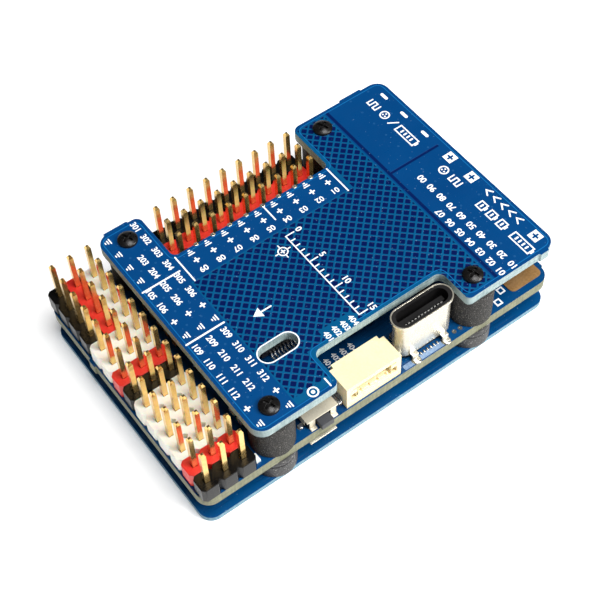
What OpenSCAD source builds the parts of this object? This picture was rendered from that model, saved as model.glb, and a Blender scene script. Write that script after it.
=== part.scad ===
// Flight controller board: a main board between a base board and a notched top board,
// with serial and servo pin headers, a USB-C socket, a side connector and a boot button.
// Origin: centre of the base board's underside. X runs along the boards, Y across, Z up.

/* [Boards] */
// Length of each board blank
board_l = 53.5; // [53:0.1:54]
// Width of each board blank
board_w = 35.5; // [35:0.1:36]
// Thickness of the base board
base_t = 0.8; // [0.6:0.1:1.2]
// Thickness of the main board
main_t = 1.6; // [1.4:0.1:1.8]
// Thickness of the top board
top_t = 1.4; // [1.0:0.1:1.6]
// Gap between the base board and the main board
lower_gap = 3.2; // [3.0:0.1:4.0]
// Gap between the main board and the top board
upper_gap = 5.6; // [5.2:0.1:6.4]
// Corner radius of the boards
corner_r = 1.8; // [1.0:0.1:2.2]

/* [Top board outline] */
// Left edge of the top board, beside the serial header
top_left = -18.6; // [-18.7:0.1:-18.3]
// Left side of the notch round the servo header
servo_notch_left = -12.1; // [-12.4:0.1:-11.8]
// Right side of the notch round the servo header
servo_notch_right = 11.9; // [11.8:0.1:12.4]
// Floor of the notch round the servo header
servo_notch_floor = 9.6; // [9.4:0.1:9.8]
// Left side of the notch over the sockets
front_notch_left = -6.9; // [-7.2:0.1:-6.5]
// Right side of the notch over the sockets
front_notch_right = 12.5; // [12.3:0.1:12.9]
// Back wall of the notch over the sockets
front_notch_back = -12.4; // [-12.6:0.1:-12.0]
// Length of the inspection slot
slot_l = 5.3; // [4.5:0.1:6.0]
// Width of the inspection slot
slot_w = 2.45; // [2.0:0.05:3.0]

/* [Stacking hardware] */
// Hole to hole distance of the square mounting pattern
hole_pitch = 30.5; // [30.4:0.1:30.6]
// Radius of the thread in the spacers, open at the underside
thread_r = 1.0; // [0.9:0.05:1.1]
// Outer radius of the metal spacers
spacer_r = 1.6; // [1.5:0.05:1.7]
// Outer radius of the rubber sleeves above the main board
sleeve_r = 2.85; // [2.7:0.05:2.9]
// Outer radius of the rubber grommets below the main board
grommet_r = 2.85; // [2.7:0.05:2.9]
// Radius of the screw heads
head_r = 1.3; // [1.2:0.05:1.5]

/* [Pin headers] */
// Distance between neighbouring pins
pitch = 2.54; // [2.54:0.01:2.54]
// Width of a square pin
pin_w = 0.64; // [0.6:0.01:0.68]
// Length of a pin above its plastic strip
pin_free = 6; // [5.5:0.1:6.5]
// Number of rows in the serial header
serial_rows = 14; // [14:1:14]
// Number of rows in the servo header
servo_rows = 9; // [9:1:9]

/* [Sockets and button] */
// Centre of the USB socket along the board
usb_x = 7.5; // [7.3:0.1:7.8]
// Length of the USB rim
usb_l = 8.94; // [8.8:0.02:9.0]
// Width of the USB rim
usb_w = 3.26; // [3.2:0.02:3.3]
// Width of the side connector
conn_w = 8.25; // [8.2:0.05:8.3]
// Height of the side connector
conn_h = 4.05; // [4.0:0.05:4.1]
// Travel of the boot button
button_travel = 0.25; // [0.2:0.01:0.25]

/* [Hidden] */

// Levels of the stack
base_top = base_t;
main_bot = base_top + lower_gap;
main_top = main_bot + main_t;
top_bot = main_top + upper_gap;
top_top = top_bot + top_t;

// Headers
block_h = 2.54;
block_chamfer = 0.42;
pin_top = main_top + block_h + pin_free;
pin_tail = 1.4;
pin_tip = 0.18;
pin_hole_r = 0.5;
pin_gap = 0.02;
serial_x = -25.3;
serial_y = -(serial_rows - 1) * pitch / 2;
servo_x = serial_x + 6 * pitch;
servo_y = 16.5;
split_rows = 4;

// Stubs left on the edges where each board was broken out of its panel
stub_l = 3.4;
short_stub_l = 1.3;
stub_h = 0.25;

// USB socket
usb_y = -15;
usb_wall = 0.2;
usb_body_l = 8.3;
usb_body_w = 2.9;
usb_rim_h = 0.4;
usb_rim_wall = 0.17;
usb_bot = main_top + 0.7;
tongue_l = 6.6;
tongue_w = 0.7;
tongue_top = top_top - 1;
usb_foot_x = 2.35;

// Side connector
conn_x = -1.72;
conn_front = -17.55;
conn_back = -14.05;
conn_step = 0.55;
conn_pitch = 1.25;
contact_w = 0.3;

// Boot button
button_x = -9.15;
button_front = -17.1;
button_w = 4.6;
button_d = 3.2;
button_h = 1.6;
sheet = 0.15;
plunger_w = 1.8;
plunger_h = 0.95;
plunger_z = main_top + 0.2;
plunger_out = 1.15;
plunger_slack = 0.06;
shoulder_w = 2.6;
shoulder_y = 0.56;
shoulder_d = 0.4;
dome_r = 1.3;
dome_rise = 0.78;
dome_clear = 0.11;
pocket_back = shoulder_y + shoulder_d + button_travel + dome_clear + dome_rise;

// Card socket under the main board
card_x = -4.7;
card_w = 14.2;
card_d = 14.6;
card_h = 1.6;
card_front = -16.8;
card_lip = 1.25;

// Leaded processor package
cpu_x = -4.87;
cpu_y = -0.6;
cpu_w = 10;
cpu_h = 1.4;
cpu_leads = 16;
lead_pitch = 0.5;
lead_reach = 1.0;

// Video chip
video_x = 6.4;
video_y = 2.4;
video_l = 9.7;
video_w = 4.4;

// [x, y] centres of the parts that come in groups
regulator_at = [[14.2, -7.5], [14.2, -1.5], [14.2, 4.5]];
inductor_at = [[18.6, -7.5], [18.6, -1.5], [18.6, 4.5]];
led_at = [[-18.5, -16.55], [-17, -11.2], [-17, -9.6]];
shunt_at = [[23.6, -7.2]];
pad_at = [[23.65, -13.2], [23.65, -1], [23.65, 10.2]];
pad_size = [5.1, 7.2, 0.1];

module round_plate(x0, x1, y0, y1, r) {
    // Flat outline between the given edges, with round corners
    translate([x0 + r, y0]) square([x1 - x0 - 2 * r, y1 - y0]);
    translate([x0, y0 + r]) square([x1 - x0, y1 - y0 - 2 * r]);
    for (x = [x0 + r, x1 - r], y = [y0 + r, y1 - r])
        translate([x, y]) circle(r, $fn = 48);
}

module stadium(l, w) {
    // Flat outline with two half-round ends
    square([l - w, w], center = true);
    for (s = [-1, 1])
        translate([s * (l - w) / 2, 0]) circle(w / 2, $fn = 48);
}

module stub(x, y, turn, length = stub_l) {
    // Low trapezoid standing out of a board edge
    translate([x, y]) rotate(turn)
        polygon([[-length / 2 - stub_h, -0.5], [length / 2 + stub_h, -0.5],
                 [length / 2, stub_h], [-length / 2, stub_h]]);
}

module board_blank() {
    round_plate(-board_l / 2, board_l / 2, -board_w / 2, board_w / 2, corner_r);
    for (s = [-1, 1]) stub(s * (board_l / 2 - 5), board_w / 2, 0);
}

module at_corners() {
    for (x = [-1, 1], y = [-1, 1])
        translate([x * hole_pitch / 2, y * hole_pitch / 2, 0]) children();
}

module tube(r_out, r_in, z0, z1) {
    translate([0, 0, z0]) difference() {
        cylinder(h = z1 - z0, r = r_out, $fn = 64);
        translate([0, 0, -1]) cylinder(h = z1 - z0 + 2, r = r_in, $fn = 64);
    }
}

module at_serial(columns, rows) {
    for (i = columns, j = rows)
        translate([serial_x + i * pitch, serial_y + j * pitch, 0]) children();
}

module at_servo(columns, row) {
    for (k = columns)
        translate([servo_x + k * pitch, servo_y - row * pitch, 0]) children();
}

// ---- Boards ----

module base_board() {
    color("#0b4f8a") linear_extrude(base_t) difference() {
        board_blank();
        at_corners() circle(spacer_r, $fn = 64);
    }
}

module main_board() {
    color("#0d5fa8") translate([0, 0, main_bot]) difference() {
        linear_extrude(main_t) {
            board_blank();
            stub(board_l / 2, -board_w / 2 + 3.6, -90);
            stub(-board_l / 2, board_w / 2 - 10.9, 90, short_stub_l);
        }
        translate([0, 0, -1]) {
            at_corners() cylinder(h = main_t + 2, r = 2, $fn = 64);
            at_serial([0:2], [0:serial_rows - 1])
                cylinder(h = main_t + 2, r = pin_hole_r, $fn = 24);
            for (row = [0:2])
                at_servo([0:servo_rows - 1], row)
                    cylinder(h = main_t + 2, r = pin_hole_r, $fn = 24);
        }
    }
}

module top_outline() {
    // The notches come from the first shape, the round mouths of the notches from the second
    x1 = board_l / 2;
    y1 = board_w / 2;
    intersection() {
        difference() {
            round_plate(top_left, x1, -y1, y1, corner_r);
            round_plate(servo_notch_left, servo_notch_right, servo_notch_floor, y1 + 5, 0.8);
            round_plate(front_notch_left, front_notch_right, -y1 - 5, front_notch_back, 1);
        }
        union() {
            round_plate(top_left - 2, servo_notch_left, 0, y1, 1);
            round_plate(top_left - 2, front_notch_left, -y1, 2, 1);
            round_plate(servo_notch_right, x1 + 2, 0, y1, 1.2);
            round_plate(front_notch_right, x1 + 2, -y1, 2, 0.7);
            translate([-16, -y1 + 2]) square([32, 2 * y1 - 4]);
        }
    }
    stub(servo_notch_left - 3.4, y1, 0);
    stub(x1 - 5, y1, 0);
    stub(x1 - 2.2, -y1, 180, short_stub_l);
}

module top_board() {
    color("#0d5fa8") translate([0, 0, top_bot]) difference() {
        linear_extrude(top_t) difference() {
            top_outline();
            translate([-9.7, -9.3]) stadium(slot_l, slot_w);
            at_servo([0.5:servo_rows - 1.5], 0)
                translate([0, servo_notch_floor - servo_y]) circle(0.36, $fn = 32);
        }
        translate([0, 0, -1]) at_corners() cylinder(h = top_t + 2, r = 0.95, $fn = 48);
    }
}

// ---- Stacking hardware ----

module screw() {
    // Pan head with a cross recess, and a plain shank; the head's seat is at z = 0
    head_h = 0.75;
    edge_h = 0.35;
    recess_w = 0.32;
    dome_r = (head_r * head_r + pow(head_h - edge_h, 2)) / (2 * (head_h - edge_h));
    difference() {
        union() {
            cylinder(h = edge_h, r = head_r, $fn = 64);
            intersection() {
                cylinder(h = head_h, r = head_r, $fn = 64);
                translate([0, 0, head_h - dome_r]) sphere(dome_r, $fn = 96);
            }
        }
        for (turn = [0, 90])
            rotate(turn) translate([-0.8, -recess_w / 2, 0.25]) cube([1.6, recess_w, 1]);
    }
    translate([0, 0, -5]) cylinder(h = 5, r = 0.76, $fn = 48);
}

module corner_screws() {
    color("#15130f") at_corners() translate([0, 0, top_top]) rotate(25) screw();
}

module threaded_spacers() {
    // Pressed into the base board and open below; the narrow top takes the screw
    narrow_h = 3.5;
    color("#b9a25c") at_corners() {
        tube(spacer_r, thread_r, 0, top_bot - narrow_h);
        tube(spacer_r, 0.8, top_bot - narrow_h, top_bot);
    }
}

module upper_sleeves() {
    // The rubber sleeve has a spigot that fills the hole in the main board
    color("#3b3b3d") at_corners() {
        tube(sleeve_r, spacer_r + 0.02, main_top, top_bot);
        tube(1.98, spacer_r + 0.02, main_bot, main_top);
    }
}

module grommet_rings() {
    color("#46464a") at_corners() tube(grommet_r, spacer_r + 0.02, main_bot - 0.9, main_bot);
}

module lower_grommets() {
    // A small step under the ring leaves a groove round the grommet
    color("#4b4b50") at_corners() {
        tube(grommet_r, spacer_r + 0.02, base_top, main_bot - 1.05);
        tube(grommet_r - 0.25, spacer_r + 0.02, main_bot - 1.05, main_bot - 0.9);
    }
}

// ---- Pin headers ----

module block_outline() {
    h = pitch / 2;
    c = block_chamfer;
    polygon([[-h + c, -h], [h - c, -h], [h, -h + c], [h, h - c],
             [h - c, h], [-h + c, h], [-h, h - c], [-h, -h + c]]);
}

module header_block() {
    // One position of a header strip, with its square pin hole
    hole = pin_w + 2 * pin_gap;
    translate([0, 0, main_top]) linear_extrude(block_h) difference() {
        block_outline();
        square(hole, center = true);
    }
}

module pin(z0, z1) {
    // Square pin, chamfered on four sides at both ends
    h = pin_w / 2;
    t = pin_tip;
    profile = [[-h, z0 + 2 * t], [-h + t, z0], [h - t, z0], [h, z0 + 2 * t],
               [h, z1 - 2 * t], [h - t, z1], [-h + t, z1], [-h, z1 - 2 * t]];
    intersection() {
        translate([0, 1, 0]) rotate([90, 0, 0]) linear_extrude(2) polygon(profile);
        rotate(90) translate([0, 1, 0]) rotate([90, 0, 0]) linear_extrude(2) polygon(profile);
    }
}

module serial_header_black() {
    color("#1c1a18") {
        at_serial([0], [serial_rows - split_rows:serial_rows - 1]) header_block();
        at_serial([0:2], [0]) header_block();
        at_serial([0:2], [6]) header_block();
    }
}

module serial_header_red() {
    color("#d9261c") {
        at_serial([1], [serial_rows - split_rows:serial_rows - 1]) header_block();
        at_serial([0:2], [1]) header_block();
        at_serial([0:2], [7]) header_block();
    }
}

module serial_header_white() {
    color("#f2ecdc") {
        at_serial([2], [serial_rows - split_rows:serial_rows - 1]) header_block();
        for (j = [2, 3, 4, 5, 8, 9])
            at_serial([0:2], [j]) header_block();
    }
}

module serial_header_pins() {
    color("#d3a548") at_serial([0:2], [0:serial_rows - 1]) pin(main_bot - pin_tail, pin_top);
}

module servo_header_black() {
    color("#1c1a18") at_servo([0:servo_rows - 1], 0) header_block();
}

module servo_header_red() {
    color("#d9261c") at_servo([0:servo_rows - 1], 1) header_block();
}

module servo_header_white() {
    color("#f2ecdc") at_servo([0:servo_rows - 1], 2) header_block();
}

module servo_header_pins() {
    color("#d3a548") for (row = [0:2])
        at_servo([0:servo_rows - 1], row) pin(main_bot - pin_tail, pin_top);
}

module board_link_pins() {
    // Flat pins that carry current up to the half holes in the servo notch
    color("#c9ccd0") at_servo([0.5:servo_rows - 1.5], 0)
        translate([-0.25, servo_notch_floor - servo_y - 0.2, main_top])
            cube([0.5, 0.36, top_top - main_top]);
}

// ---- USB socket ----

module usb_foot() {
    // Folded foot: out of the shell, down to the board and out again
    foot_w = 0.9;
    y0 = usb_body_w / 2 - 0.1;
    translate([-foot_w / 2, 0, 0]) rotate([90, 0, 90]) linear_extrude(foot_w)
        polygon([[y0, usb_bot + 0.3], [y0 + 0.75, usb_bot + 0.3], [y0 + 0.75, main_top + 0.25],
                 [y0 + 1.2, main_top + 0.25], [y0 + 1.2, main_top], [y0 + 0.5, main_top],
                 [y0 + 0.5, usb_bot + 0.05], [y0, usb_bot + 0.05]]);
}

module usb_shell() {
    color("#d9d6cf") translate([usb_x, usb_y, 0]) {
        difference() {
            union() {
                translate([0, 0, usb_bot]) linear_extrude(top_top - usb_bot)
                    stadium(usb_body_l, usb_body_w);
                translate([0, 0, top_top - usb_rim_h]) linear_extrude(usb_rim_h)
                    stadium(usb_l, usb_w);
            }
            translate([0, 0, usb_bot - 1]) linear_extrude(top_top - usb_bot + 2)
                stadium(usb_body_l - 2 * usb_wall, usb_body_w - 2 * usb_wall);
            translate([0, 0, top_top - usb_rim_h + 0.1]) linear_extrude(2)
                stadium(usb_l - 2 * usb_rim_wall, usb_w - 2 * usb_rim_wall);
        }
        for (s = [-1, 1], turn = [0, 180])
            translate([s * usb_foot_x, 0, 0]) rotate(turn) usb_foot();
    }
}

module usb_insulator() {
    // Floor block, thin liner inside the shell, and the tongue in the middle
    fit = 0.02;
    liner = 0.15;
    out_l = usb_body_l - 2 * usb_wall - 2 * fit;
    out_w = usb_body_w - 2 * usb_wall - 2 * fit;
    floor_z = usb_bot + 1.2;
    mouth_z = top_top - 0.08;
    color("#141416") translate([usb_x, usb_y, 0]) {
        translate([0, 0, main_top]) linear_extrude(floor_z - main_top) stadium(out_l, out_w);
        difference() {
            union() {
                translate([0, 0, main_top]) linear_extrude(mouth_z - main_top) stadium(out_l, out_w);
                translate([0, 0, top_top - usb_rim_h + 0.1 + fit])
                    linear_extrude(mouth_z - top_top + usb_rim_h - 0.1 - fit)
                        stadium(usb_l - 2 * (usb_rim_wall + fit), usb_w - 2 * (usb_rim_wall + fit));
            }
            translate([0, 0, main_top - 1]) linear_extrude(top_top - main_top + 2)
                stadium(out_l - 2 * liner, out_w - 2 * liner);
        }
        translate([-tongue_l / 2, -tongue_w / 2, floor_z - 0.1])
            cube([tongue_l, tongue_w, tongue_top - floor_z + 0.1]);
    }
}

module usb_contacts() {
    // Two rows of flat contacts on the faces of the tongue
    z0 = usb_bot + 1.2;
    z1 = tongue_top - 0.15;
    color("#b8b2a2") translate([usb_x, usb_y, 0])
        for (k = [-5.5:5.5], s = [-1, 1])
            translate([k * 0.5 - 0.13, s * (tongue_w / 2 + 0.03) - 0.03, z0])
                cube([0.26, 0.06, z1 - z0]);
}

// ---- Side connector ----

module connector_housing() {
    // Open mouth towards -Y, two latch windows beside it, a stepped back, and a tongue under the
    // contacts with a notch in its front edge for each
    mouth_w = 5.2;
    mouth_h = 2;
    mouth_z = main_top + 1.35;
    tongue_gap = 0.3;
    notch_at = [-1.5 * conn_pitch : conn_pitch : 1.5 * conn_pitch];
    color("#f4ecd2") translate([conn_x, 0, 0]) difference() {
        translate([-mouth_w / 2 + tongue_gap, conn_front + 0.15, mouth_z - 0.1])
            cube([mouth_w - 2 * tongue_gap, conn_back - conn_front - 0.5, 0.6]);
        for (x = notch_at)
            translate([x - 0.17, conn_front, mouth_z + 0.1]) cube([0.34, 0.5, 0.5]);
    }
    color("#f4ecd2") translate([conn_x, 0, 0]) difference() {
        union() {
            translate([-conn_w / 2, conn_front, main_top])
                cube([conn_w, conn_back - conn_front, conn_h]);
            translate([-conn_w / 2 + 0.65, conn_back - 0.1, main_top])
                cube([conn_w - 1.3, conn_step + 0.1, conn_h]);
        }
        translate([-mouth_w / 2, conn_front - 1, mouth_z]) cube([mouth_w, 4.2, mouth_h]);
        translate([-mouth_w / 2 - 0.7, conn_front - 1, mouth_z + mouth_h - 0.35])
            cube([mouth_w + 1.4, 1.9, 0.35]);
        for (s = [-1, 1])
            translate([s * 3.05 - 0.4, conn_front - 1, mouth_z - 0.1]) cube([0.8, 3.2, 1.1]);
        for (k = [-1.5:1.5])
            translate([k * conn_pitch - contact_w / 2 - pin_gap, conn_front + 1, mouth_z + 0.5])
                cube([contact_w + 2 * pin_gap, 5, contact_w + 2 * pin_gap]);
        for (s = [-1, 1])
            translate([s * conn_w / 2 - 0.3, conn_front + 0.9, main_top - 1])
                cube([0.6, 1.9, 2.4]);
    }
}

module connector_contacts() {
    // Straight through the back wall, then down to the board and out as a solder tail
    z1 = main_top + 1.85 + pin_gap;
    y0 = conn_front + 0.7;
    y_tail = conn_back + conn_step + 0.15;
    color("#cfc7b0") for (k = [-1.5:1.5])
        translate([conn_x + k * conn_pitch - contact_w / 2, 0, 0]) {
            translate([0, y0, z1]) cube([contact_w, y_tail - y0 + contact_w, contact_w]);
            translate([0, y_tail, main_top]) cube([contact_w, contact_w, z1 - main_top + 0.1]);
            translate([0, y_tail, main_top]) cube([contact_w, 0.9, 0.2]);
        }
}

module connector_anchors() {
    // Bent tabs that hold the connector's sides to the board
    color("#cdd0d4") for (s = [0, 1])
        translate([conn_x, conn_front + 0.95, main_top]) mirror([s, 0, 0])
            translate([conn_w / 2 - 0.27, 0, 0]) {
                cube([0.25, 1.8, 1.3]);
                cube([0.75, 1.8, 0.2]);
            }
}

// ---- Boot button ----

module boot_button_base() {
    // Plastic body with a channel for the plunger and a wider pocket for its shoulder
    channel_w = plunger_w + 2 * plunger_slack;
    pocket_w = shoulder_w + 2 * plunger_slack;
    z0 = plunger_z - plunger_slack - main_top;
    channel_h = plunger_h + 2 * plunger_slack;
    body_w = button_w - 2 * sheet - 0.1;
    color("#26262a") translate([button_x, button_front, main_top]) difference() {
        translate([-body_w / 2, 0.1, 0]) cube([body_w, button_d - 0.1, button_h - sheet]);
        translate([-channel_w / 2, -1, z0]) cube([channel_w, 2, channel_h]);
        translate([-pocket_w / 2, 0.5, z0]) cube([pocket_w, pocket_back - 0.5, channel_h]);
    }
}

module boot_button_cover() {
    // Folded sheet over the body, with two tabs down the front that end in small feet
    tab_w = 0.85;
    color("#d8d2c4") translate([button_x, button_front, main_top]) {
        translate([-button_w / 2, -0.08, button_h - sheet]) cube([button_w, button_d, sheet]);
        for (s = [-1, 1]) {
            translate([s * (button_w / 2 - 0.75) - tab_w / 2, -0.08, 0])
                cube([tab_w, sheet, button_h]);
            translate([s * (button_w / 2 - 0.75) - tab_w / 2, -0.5, 0])
                cube([tab_w, 0.5, sheet]);
            translate([s * (button_w / 2 - sheet / 2) - sheet / 2, 0.6, 0.4])
                cube([sheet, 1.6, button_h - 0.4]);
        }
    }
}

module boot_button_plunger() {
    color("#55565a") translate([button_x, button_front, plunger_z]) {
        translate([-plunger_w / 2, -plunger_out, 0])
            cube([plunger_w, plunger_out + 0.8, plunger_h]);
        translate([-shoulder_w / 2, shoulder_y, 0]) cube([shoulder_w, shoulder_d, plunger_h]);
    }
}

module boot_button_dome() {
    // Curved contact spring: it stands on the pocket's back wall and faces the plunger
    y0 = pocket_back - dome_rise;
    color("#c8c4b8") translate([button_x, button_front + y0 + dome_r, plunger_z])
        intersection() {
            tube(dome_r, dome_r - 0.08, 0, plunger_h);
            translate([-dome_r, -dome_r - 1, -1]) cube([2 * dome_r, dome_rise + 1, 4]);
        }
}

module boot_button_terminals() {
    color("#cdd0d4") for (s = [-1, 1], y = [0.7, 2.3])
        translate([button_x + s * (button_w / 2 + 0.3) - 0.29, button_front + y, main_top])
            cube([0.58, 0.5, 0.3]);
}

// ---- Card socket under the main board ----

module card_socket_base() {
    z0 = main_bot - card_h + 0.2;
    color("#1d1d20") translate([card_x - card_w / 2 + 0.2, card_front + 0.3, z0])
        difference() {
            cube([card_w - 0.4, card_d - 0.5, card_h - 0.2]);
            translate([1.2, -1, 0.15]) cube([card_w - 2.8, card_d - 1.5, 0.8]);
        }
}

module card_socket_shell() {
    // Sheet cover below the base with folded sides, and a short lip past the board's edge
    lip_w = 3.9;
    color("#d2d4d6") translate([card_x - card_w / 2, card_front, main_bot - card_h]) {
        cube([card_w, card_d, sheet]);
        cube([sheet, card_d, card_h - 0.3]);
        translate([card_w - sheet, 0, 0]) cube([sheet, card_d, card_h - 0.3]);
        translate([0, card_d - sheet, 0]) cube([card_w, sheet, card_h - 0.3]);
        translate([0.15, -card_lip, card_h - 0.3]) cube([lip_w, card_lip + 0.25, 0.22]);
        translate([0, -0.1, card_h - 0.45]) cube([lip_w + 0.2, 0.35, 0.2]);
    }
}

module card_socket_contacts() {
    contact_pitch = 1.1;
    color("#c9a24a") for (k = [-3.5:3.5])
        translate([card_x + k * contact_pitch - 0.25, card_front + 6, main_bot - card_h + 0.6])
            cube([0.5, 6.4, 0.15]);
}

// ---- Parts on the main board ----

module chip(x, y, l, w, h, lift = 0) {
    translate([x - l / 2, y - w / 2, main_top + lift]) cube([l, w, h - lift]);
}

module processor() {
    dot_r = 0.5;
    color("#1a1a1c") difference() {
        chip(cpu_x, cpu_y, cpu_w, cpu_w, cpu_h, 0.1);
        translate([cpu_x - cpu_w / 2 + 1.3, cpu_y - cpu_w / 2 + 1.3, main_top + cpu_h - 0.08])
            cylinder(h = 1, r = dot_r, $fn = 32);
    }
}

module processor_leads() {
    // Gull-wing leads on all four sides
    color("#c4c7ca") translate([cpu_x, cpu_y, main_top])
        for (side = [0:90:270], k = [0:cpu_leads - 1])
            rotate(side)
                translate([(k - (cpu_leads - 1) / 2) * lead_pitch - 0.11, -cpu_w / 2, 0]) {
                    translate([0, -0.4, 0.55]) cube([0.22, 0.4, 0.14]);
                    translate([0, -0.4, 0]) cube([0.22, 0.14, 0.69]);
                    translate([0, -lead_reach, 0]) cube([0.22, lead_reach - 0.3, 0.14]);
                }
}

module motion_sensor() {
    color("#222226") chip(1.5, -8.2, 3, 2.5, 0.9);
}

module pressure_sensor() {
    // Metal lid with a vent hole
    color("#c7c8c4") difference() {
        chip(6.4, -7.8, 2.5, 2, 0.95);
        translate([6.9, -7.4, main_top + 0.4]) cylinder(h = 1, r = 0.2, $fn = 24);
    }
}

module video_chip() {
    color("#1b1b1e") chip(video_x, video_y, video_l, video_w, 1.1, 0.1);
}

module video_chip_leads() {
    color("#c4c7ca") for (k = [-6.5:6.5], s = [0, 1])
        translate([video_x + k * 0.65 - 0.12, video_y, main_top]) mirror([0, s, 0])
            translate([0, video_w / 2, 0]) {
                translate([0, 0, 0.4]) cube([0.24, 0.4, 0.14]);
                translate([0, 0.26, 0]) cube([0.24, 0.14, 0.54]);
                translate([0, 0.26, 0]) cube([0.24, 0.6, 0.14]);
            }
}

module crystal() {
    color("#c9cbcc") chip(-15.6, -2.5, 3.2, 2.5, 0.75);
}

module regulator_chips() {
    color("#1f1f22") for (p = regulator_at) chip(p[0], p[1], 3, 3, 0.9);
}

module power_inductors() {
    color("#5b5a57") for (p = inductor_at) chip(p[0], p[1], 4, 4, 2);
}

module capacitors() {
    color("#a98a63") {
        for (y = [-9.4:3:7.6])
            chip(12.05, y, 0.9, 1.8, 0.8);
        for (k = [0:5])
            chip(-14 + k * 2.6, -8.4, 1.2, 0.6, 0.5);
        for (k = [0:4])
            chip(-16.4, 3 + k * 1.7, 1.8, 0.9, 0.7);
    }
}

module resistors() {
    color("#202022") {
        for (k = [0:7])
            chip(-12.1, -5.2 + k * 1.5, 1, 0.5, 0.4);
        for (k = [0:6])
            chip(-13 + k * 1.9, 8.3, 0.5, 1, 0.4);
    }
}

module current_shunt() {
    color("#8d8578") for (p = shunt_at) chip(p[0], p[1], 3.2, 2.6, 0.7);
}

module battery_pads() {
    color("#c98f4a") for (p = pad_at)
        translate([0, 0, main_top]) linear_extrude(pad_size[2])
            round_plate(p[0] - pad_size[0] / 2, p[0] + pad_size[0] / 2,
                        p[1] - pad_size[1] / 2, p[1] + pad_size[1] / 2, 0.7);
}

module status_leds() {
    color("#f3f3ee") for (p = led_at) chip(p[0], p[1], 0.6, 1.1, 0.45);
}

base_board();
main_board();
top_board();
corner_screws();
threaded_spacers();
upper_sleeves();
grommet_rings();
lower_grommets();
serial_header_black();
serial_header_red();
serial_header_white();
serial_header_pins();
servo_header_black();
servo_header_red();
servo_header_white();
servo_header_pins();
board_link_pins();
usb_shell();
usb_insulator();
usb_contacts();
connector_housing();
connector_contacts();
connector_anchors();
boot_button_base();
boot_button_cover();
boot_button_plunger();
boot_button_dome();
boot_button_terminals();
card_socket_base();
card_socket_shell();
card_socket_contacts();
processor();
processor_leads();
motion_sensor();
pressure_sensor();
video_chip();
video_chip_leads();
crystal();
regulator_chips();
power_inductors();
capacitors();
resistors();
current_shunt();
battery_pads();
status_leds();
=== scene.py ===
"""Looks of a flight controller board: finishes, printed marks, solder and soft edges on a fixed CAD frame.

Lengths are written in millimetres and turned into metres with MM. The frame is the CAD part's own:
origin at the centre of the base board's underside, X along the boards, Y across, Z up.
"""

import math
from collections import Counter

import bmesh
import bpy
from mathutils import Matrix, Vector


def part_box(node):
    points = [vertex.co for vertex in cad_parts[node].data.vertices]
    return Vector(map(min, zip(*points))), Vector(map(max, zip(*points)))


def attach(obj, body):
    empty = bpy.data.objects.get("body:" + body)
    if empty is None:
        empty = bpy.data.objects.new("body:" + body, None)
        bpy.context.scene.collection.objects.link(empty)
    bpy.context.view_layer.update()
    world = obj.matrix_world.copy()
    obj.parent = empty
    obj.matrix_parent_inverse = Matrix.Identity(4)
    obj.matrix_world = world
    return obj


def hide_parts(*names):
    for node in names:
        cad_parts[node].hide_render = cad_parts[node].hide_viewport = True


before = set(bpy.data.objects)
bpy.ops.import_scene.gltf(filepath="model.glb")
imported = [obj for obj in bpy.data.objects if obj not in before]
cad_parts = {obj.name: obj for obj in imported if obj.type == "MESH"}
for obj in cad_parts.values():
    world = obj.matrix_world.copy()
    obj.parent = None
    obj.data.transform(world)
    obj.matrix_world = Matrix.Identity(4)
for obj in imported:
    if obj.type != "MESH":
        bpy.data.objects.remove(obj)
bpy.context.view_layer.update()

MM = 0.001
STACK = "board_stack"
PLUNGER = "boot_plunger"

# Board faces, read from the frame
MAIN_LOW, MAIN_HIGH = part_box("main_board")
MAIN_TOP = MAIN_HIGH.z / MM
MAIN_BOTTOM = MAIN_LOW.z / MM
TOP_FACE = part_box("top_board")[1].z / MM

# Pin headers: pitch, place of the first pin, and how many rows and columns
PITCH = 2.54
SERIAL_X = -25.3
SERIAL_ROWS = 14
SERIAL_COLUMNS = 3
SERIAL_Y = -(SERIAL_ROWS - 1) * PITCH / 2
SERVO_X = SERIAL_X + 6 * PITCH
SERVO_Y = 16.5
SERVO_ROWS = 9
SERVO_PINS = 3

# Top board: corner screws, outline, notches and slot
SCREW_AT = 15.25
SCREW_CLEAR = 2.0
EDGE_Y = 17.75
EDGE_X = 26.75
TOP_LEFT = -18.6
SERVO_NOTCH = (-12.1, 11.9)
SERVO_FLOOR = 9.6
FRONT_NOTCH = (-6.9, 12.5)
FRONT_FLOOR = -12.4
SLOT_AT = (-9.7, -9.3)
SLOT_SIZE = (5.3, 2.45)

# Side connector contacts
CONTACT_COUNT = 4
CONTACT_PITCH = 1.25
CONTACT_FIRST_NUMBER = 401

# Printed marks: thickness of the ink and widths of the strokes
INK = 0.02
STROKE = 0.2
HEAVY_STROKE = 0.24
SIGN_STROKE = 0.19
GROUND_STROKE = 0.17
FINE_STROKE = 0.16
SLOT_STROKE = 0.15
RING_RADIUS = 0.62


# ---------------------------------------------------------------- colours and node helpers


def rgb(red, green, blue):
    """A colour given as screen values from 0 to 255, as the linear values that shaders take."""
    def linear(value):
        v = value / 255
        return v / 12.92 if v <= 0.04045 else ((v + 0.055) / 1.055) ** 2.4
    return (linear(red), linear(green), linear(blue), 1.0)


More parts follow.
